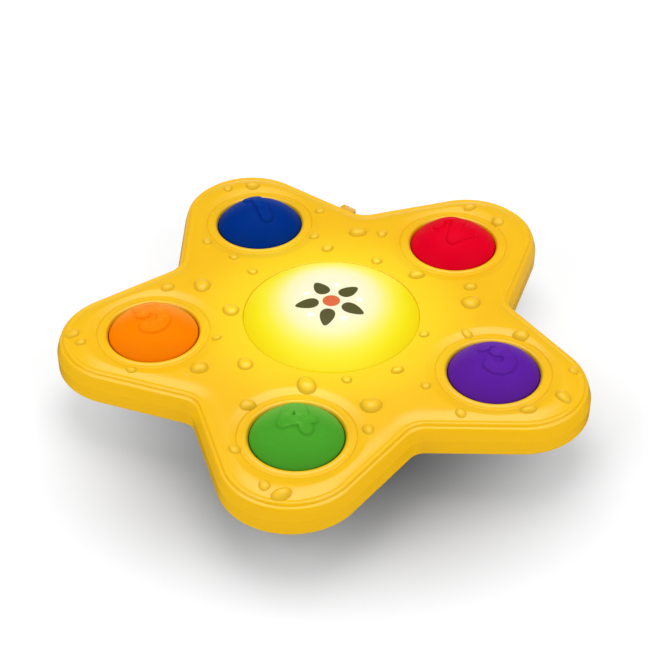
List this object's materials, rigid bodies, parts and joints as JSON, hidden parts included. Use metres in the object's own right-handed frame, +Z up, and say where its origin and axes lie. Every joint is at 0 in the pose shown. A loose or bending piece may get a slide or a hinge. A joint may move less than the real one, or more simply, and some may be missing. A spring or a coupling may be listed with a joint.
{
  "type": "suction cup toy",
  "caption": "Star-shaped light and sound baby toy with domed push buttons, a glowing round lens and a suction cup base.",
  "frame": {"origin": "centre of the suction cup's rim, on the surface the toy stands on", "axes": "+Z up through the cup and the lens; +Y along the arm of button 1; +X to the right, towards the arm of button 2; the numerals read upright from -Y"},
  "size_m": [0.2504, 0.2415, 0.0493],
  "materials": {
    "shell_yellow": "moulded gloss, golden yellow",
    "base_grey": "moulded satin, grey",
    "lens_glow": "translucent yellow, lit from inside",
    "white_plastic": "white",
    "circuit_board": "green laminate",
    "black_resin": "black",
    "led_clear": "clear lamp resin",
    "steel_screw": "zinc plated",
    "plated_steel": "nickel plated",
    "soft_silicone": "frosted soft silicone",
    "grey_rubber": "silicone key",
    "black_foam": "closed foam",
    "black_card": "pressed paper",
    "grey_lead": "flat lead jacket",
    "cell_jacket": "plain jacket",
    "switch_yellow": "moulded, dull yellow",
    "button_blue": "moulded satin blue",
    "button_red": "moulded satin red",
    "button_purple": "moulded satin purple",
    "button_green": "moulded satin green",
    "button_orange": "moulded satin orange"
  },
  "bodies": {
    "suction_cup": {"suction_cup": "soft_silicone"},
    "toy": {"top_shell": "shell_yellow", "bottom_shell": "base_grey", "light_lens": "lens_glow", "light_reflector": "white_plastic", "main_board": "circuit_board", "sound_chip": "black_resin", "leds": "led_clear", "board_screws": "steel_screw", "shell_screws": "steel_screw", "cup_retainer": "white_plastic", "retainer_screws": "steel_screw", "speaker_gasket": "black_foam", "speaker_frame": "plated_steel", "speaker_cone": "black_card", "speaker_magnet": "plated_steel", "key_boards": "circuit_board", "key_leads": "grey_lead", "contact_plates": "plated_steel", "contact_springs": "plated_steel", "switch_body": "black_resin", "rubber_dome_1": "grey_rubber", "rubber_dome_2": "grey_rubber", "rubber_dome_3": "grey_rubber", "rubber_dome_4": "grey_rubber", "rubber_dome_5": "grey_rubber", "aaa_cell_1": "cell_jacket", "aaa_cell_2": "cell_jacket", "aaa_cell_3": "cell_jacket"},
    "button_1": {"button_1": "button_blue"},
    "button_2": {"button_2": "button_red"},
    "button_3": {"button_3": "button_purple"},
    "button_4": {"button_4": "button_green"},
    "button_5": {"button_5": "button_orange"},
    "battery_door": {"battery_door": "base_grey", "door_screw": "steel_screw"},
    "switch_knob": {"switch_knob": "switch_yellow"}
  },
  "joints": [
    {"name": "cup_press", "type": "slide", "parent": "suction_cup", "child": "toy", "axis": [0, 0, -1], "range_m": [0, 0.005], "stiffness_N_per_m": 1500, "springref_m": -0.006, "deforming": ["suction_cup"]},
    {"name": "button_1_press", "type": "slide", "parent": "toy", "child": "button_1", "axis": [0, 0, -1], "range_m": [0, 0.003], "stiffness_N_per_m": 500, "springref_m": -0.003, "deforming": ["rubber_dome_1"]},
    {"name": "button_2_press", "type": "slide", "parent": "toy", "child": "button_2", "axis": [0, 0, -1], "range_m": [0, 0.003], "stiffness_N_per_m": 500, "springref_m": -0.003, "deforming": ["rubber_dome_2"]},
    {"name": "button_3_press", "type": "slide", "parent": "toy", "child": "button_3", "axis": [0, 0, -1], "range_m": [0, 0.003], "stiffness_N_per_m": 500, "springref_m": -0.003, "deforming": ["rubber_dome_3"]},
    {"name": "button_4_press", "type": "slide", "parent": "toy", "child": "button_4", "axis": [0, 0, -1], "range_m": [0, 0.003], "stiffness_N_per_m": 500, "springref_m": -0.003, "deforming": ["rubber_dome_4"]},
    {"name": "button_5_press", "type": "slide", "parent": "toy", "child": "button_5", "axis": [0, 0, -1], "range_m": [0, 0.003], "stiffness_N_per_m": 500, "springref_m": -0.003, "deforming": ["rubber_dome_5"]},
    {"name": "volume_slide", "type": "slide", "parent": "toy", "child": "switch_knob", "axis": [-0.4578, 0.8891, 0], "range_m": [-0.003, 0.003]},
    {"name": "battery_door_lift", "type": "slide", "parent": "toy", "child": "battery_door", "axis": [0, 0, -1], "range_m": [0, 0.008]}
  ]
}
